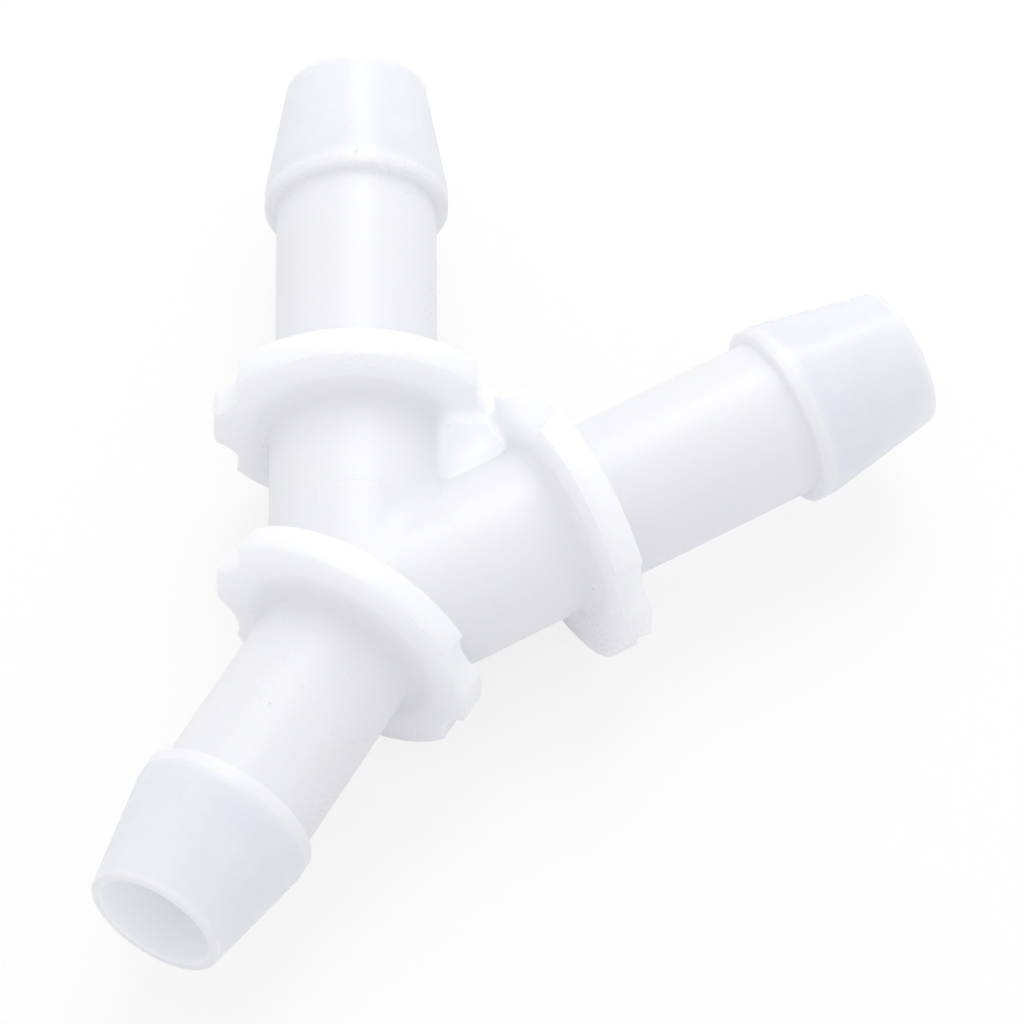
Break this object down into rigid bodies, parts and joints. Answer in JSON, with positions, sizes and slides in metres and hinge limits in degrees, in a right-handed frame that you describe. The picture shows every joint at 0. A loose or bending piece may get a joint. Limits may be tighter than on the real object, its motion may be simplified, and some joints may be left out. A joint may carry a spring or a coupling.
{
  "type": "y hose connector",
  "caption": "Y-shaped hose connector: a stem and two branches at sixty degrees, each with a barbed end and a stop collar, joining flexible hoses of one size.",
  "frame": {"origin": "where the axes of the stem and both branches cross", "axes": "+X from the crossing midway between the branches, so the stem runs along -X; +Z square to the plane of the arms; left branch towards +Y"},
  "size_m": [0.0576, 0.0446, 0.0168],
  "materials": {
    "natural_plastic": "natural translucent polypropylene, soft satin as moulded"
  },
  "bodies": {
    "root": {"y_hose_connector": "natural_plastic"}
  },
  "joints": []
}
